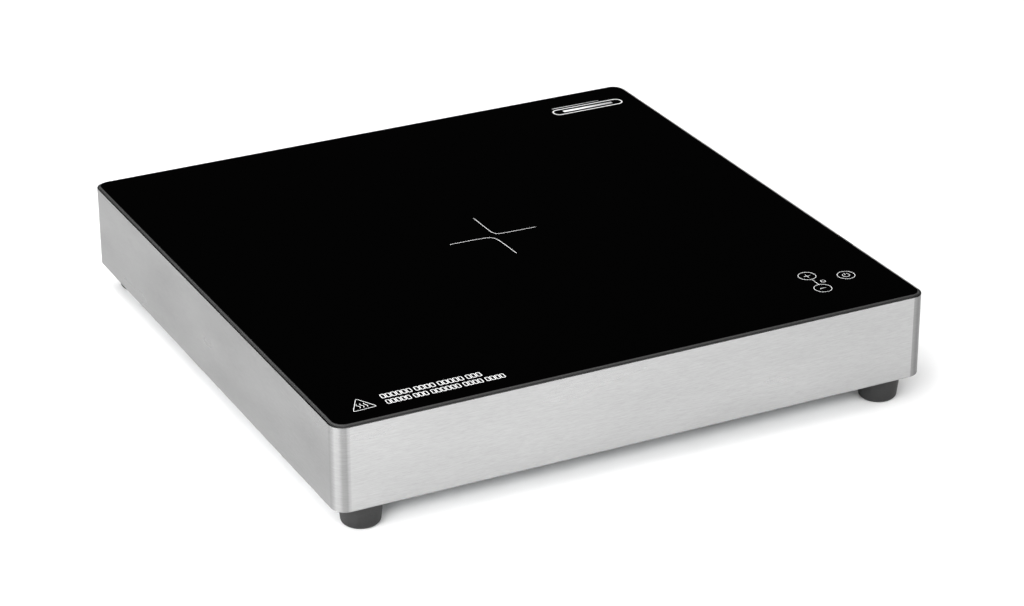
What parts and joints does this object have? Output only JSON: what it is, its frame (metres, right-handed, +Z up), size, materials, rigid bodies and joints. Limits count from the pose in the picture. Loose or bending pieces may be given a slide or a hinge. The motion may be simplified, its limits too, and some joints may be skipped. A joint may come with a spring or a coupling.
{
  "type": "portable induction plate",
  "caption": "Low square stainless steel induction plate with a black glass top, touch controls at one corner and rubber feet.",
  "frame": {"origin": "on the standing surface under the middle of the glass top", "axes": "+Z up, -Y towards the user at the side with the touch controls, +X to the user's right"},
  "size_m": [0.38, 0.3845, 0.0696],
  "materials": {
    "stainless_steel": "fine brushed stainless sheet, grain along each side",
    "galvanised_steel": "galvanised sheet",
    "black_glass": "polished black glass-ceramic with a ground edge and pale printed marks",
    "silicone_joint": "dark grey silicone",
    "black_rubber": "matt black rubber",
    "zinc_plated": "bright zinc plating",
    "black_nylon": "moulded black nylon",
    "white_nylon": "moulded natural nylon",
    "wire_insulation": "extruded wire insulation",
    "circuit_board": "solder-masked fibreglass board",
    "black_epoxy": "moulded epoxy",
    "aluminium": "plain aluminium",
    "capacitor_case": "moulded component case",
    "capacitor_can": "drawn can",
    "copper_winding": "enamelled copper wire",
    "fuse_glass": "glass tube fuse",
    "brass_terminal": "tinned brass",
    "spring_steel": "spring strip",
    "former_plastic": "glass-filled plastic",
    "ferrite": "sintered ferrite",
    "mica": "pressed mica sheet",
    "white_silicone": "heat-resistant silicone",
    "conductive_foam": "conductive foam",
    "light_lens": "tinted epoxy lens",
    "ribbon_insulation": "flat cable insulation",
    "brass_bearing": "oil-filled sintered bronze"
  },
  "bodies": {
    "casing": {"air_duct": "black_nylon", "base_plate": "galvanised_steel", "base_screws": "zinc_plated", "board_screws": "zinc_plated", "board_standoffs": "zinc_plated", "bridge_rectifier": "black_epoxy", "bushing_nut": "black_nylon", "buzzer": "black_epoxy", "carrier_screws": "zinc_plated", "coil_carrier": "aluminium", "coil_former": "former_plastic", "coil_leads": "wire_insulation", "coil_pillars": "zinc_plated", "coil_springs": "spring_steel", "coil_terminals": "brass_terminal", "control_board": "circuit_board", "control_tray": "white_nylon", "cord_bushing": "black_nylon", "dc_capacitor": "capacitor_case", "earth_stud": "zinc_plated", "fan_bearing": "brass_bearing", "fan_frame": "black_nylon", "fan_screws": "zinc_plated", "fan_stator": "copper_winding", "ferrite_bars": "ferrite", "filter_board": "circuit_board", "foot_front_left": "black_rubber", "foot_front_right": "black_rubber", "foot_rear_left": "black_rubber", "foot_rear_right": "black_rubber", "foot_screws": "zinc_plated", "foot_washers": "zinc_plated", "fuse": "fuse_glass", "glass_seal": "silicone_joint", "glass_sensor": "capacitor_can", "glass_top": "black_glass", "heatsink": "aluminium", "heatsink_screws": "zinc_plated", "housing": "stainless_steel", "indicator_light": "light_lens", "inner_coil": "copper_winding", "inner_wires": "wire_insulation", "mains_choke": "copper_winding", "mica_sheet": "mica", "outer_coil": "copper_winding", "plate_nuts": "zinc_plated", "power_board": "circuit_board", "power_transistors": "black_epoxy", "resonant_capacitors": "capacitor_case", "ribbon_cable": "ribbon_insulation", "sensor_holder": "white_silicone", "smoothing_choke": "copper_winding", "supply_transformer": "black_epoxy", "terminal_block": "white_nylon", "touch_pads": "conductive_foam", "tray_screws": "zinc_plated", "x_capacitor": "capacitor_case"},
    "fan": {"fan_rotor": "black_nylon", "fan_shaft": "zinc_plated", "fan_magnet": "ferrite"}
  },
  "joints": [
    {"name": "fan_spin", "type": "hinge", "parent": "casing", "child": "fan", "pos_m": [-0.1298, -0.01, 0.03], "axis": [0, 0, 1], "continuous": true}
  ]
}
